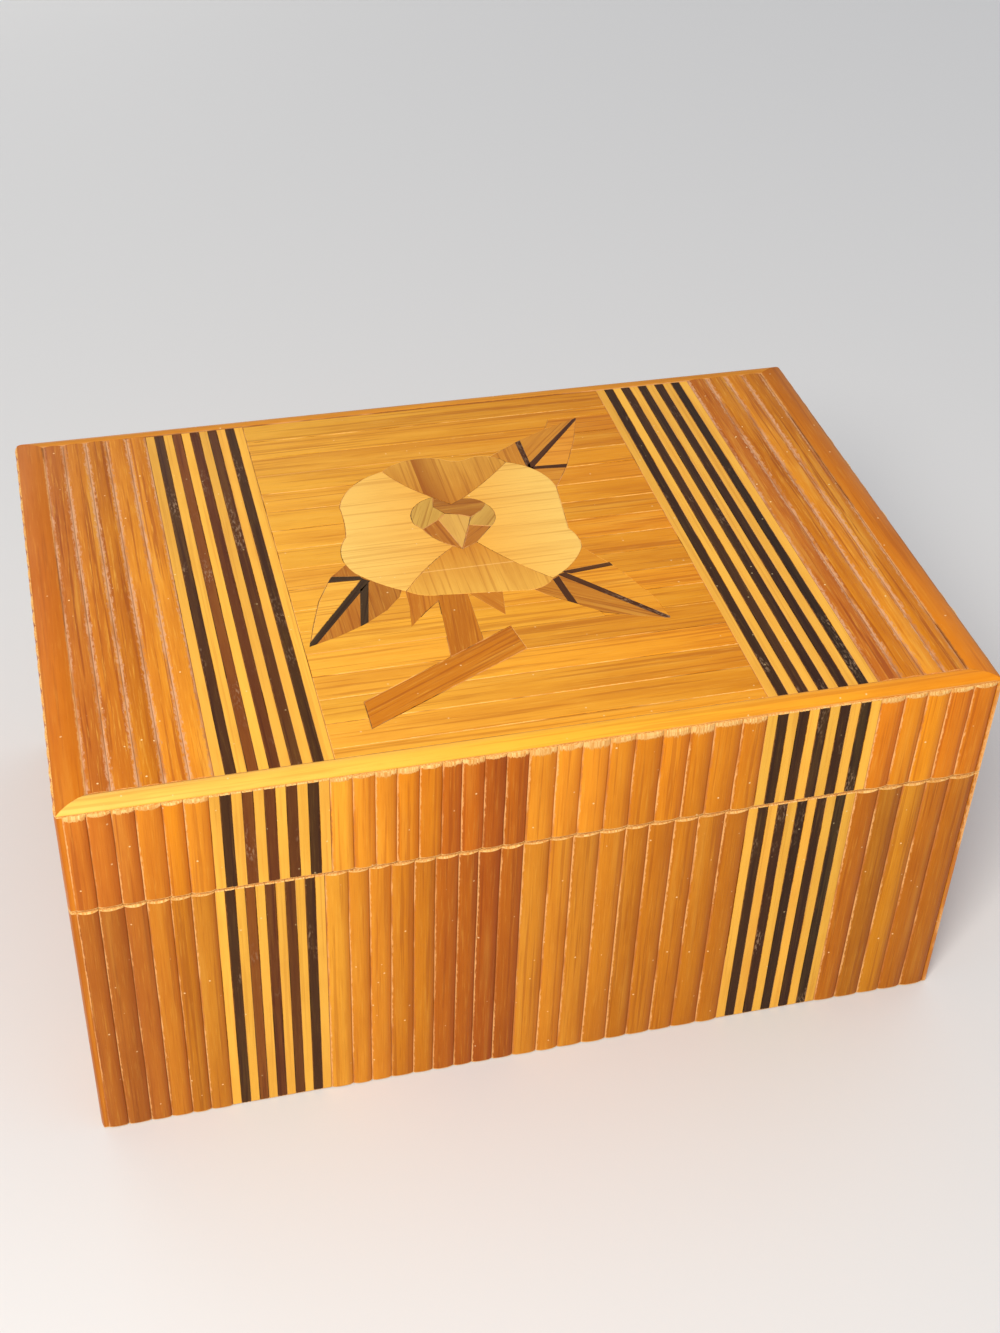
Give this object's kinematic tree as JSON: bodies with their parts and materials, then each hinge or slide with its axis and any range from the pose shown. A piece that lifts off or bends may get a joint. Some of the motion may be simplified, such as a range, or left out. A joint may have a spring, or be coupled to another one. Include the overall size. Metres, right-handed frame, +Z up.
{
  "type": "hinged keepsake box",
  "caption": "Wooden keepsake box with a hinged lid, covered in half-round slats and striped bands, with a flower inlaid on the lid.",
  "frame": {"origin": "middle of the underside of the base, on the surface the box stands on", "axes": "+X to the right of the front, +Y to the back where the hinges are, +Z up"},
  "size_m": [0.254, 0.1753, 0.123],
  "materials": {
    "carcass_wood": "bare sanded softwood",
    "slat_wood": "satin varnish over stained half-round slats",
    "light_straw": "satin varnish over natural straw and cane",
    "dark_straw": "satin varnish over stained dark strips",
    "field_straw": "satin varnish over honey straw strips",
    "inlay_straw": "satin varnish over pale and scorched straw",
    "brass": "rolled brass, lightly tarnished"
  },
  "bodies": {
    "base": {"base_back_dark_stripes": "dark_straw", "base_back_light_stripes": "light_straw", "base_back_slats": "slat_wood", "base_back_wall": "carcass_wood", "base_front_dark_stripes": "dark_straw", "base_front_light_stripes": "light_straw", "base_front_slats_left": "slat_wood", "base_front_slats_middle_left": "slat_wood", "base_front_slats_middle_right": "slat_wood", "base_front_slats_right": "slat_wood", "base_front_wall": "carcass_wood", "base_left_slats": "slat_wood", "base_left_wall": "carcass_wood", "base_right_slats": "slat_wood", "base_right_wall": "carcass_wood", "bottom_board": "carcass_wood", "left_hinge_base_leaf": "brass", "left_hinge_pin": "brass", "right_hinge_base_leaf": "brass", "right_hinge_pin": "brass"},
    "lid": {"edging_back": "light_straw", "edging_front": "light_straw", "edging_left": "light_straw", "edging_right": "light_straw", "field_strips": "field_straw", "flower_bottom_petal": "inlay_straw", "flower_branch": "inlay_straw", "flower_centre": "inlay_straw", "flower_sepals": "inlay_straw", "flower_side_petals": "inlay_straw", "flower_stem": "inlay_straw", "flower_top_petal": "inlay_straw", "leaf_blades": "inlay_straw", "leaf_veins": "dark_straw", "left_hinge_lid_leaf": "brass", "lid_back_dark_stripes": "dark_straw", "lid_back_light_stripes": "light_straw", "lid_back_slats": "slat_wood", "lid_back_wall": "carcass_wood", "lid_front_dark_stripes": "dark_straw", "lid_front_light_stripes": "light_straw", "lid_front_slats_left": "slat_wood", "lid_front_slats_middle_left": "slat_wood", "lid_front_slats_middle_right": "slat_wood", "lid_front_slats_right": "slat_wood", "lid_front_wall": "carcass_wood", "lid_left_slats": "slat_wood", "lid_left_wall": "carcass_wood", "lid_right_slats": "slat_wood", "lid_right_wall": "carcass_wood", "lid_top_board": "carcass_wood", "right_hinge_lid_leaf": "brass", "top_dark_stripes": "dark_straw", "top_light_stripes": "light_straw", "top_slats_left": "slat_wood", "top_slats_right": "slat_wood"}
  },
  "joints": [
    {"name": "lid_hinge", "type": "hinge", "parent": "base", "child": "lid", "pos_m": [0, 0.0874, 0.0879], "axis": [-1, 0, 0], "range_deg": [0, 110]}
  ]
}
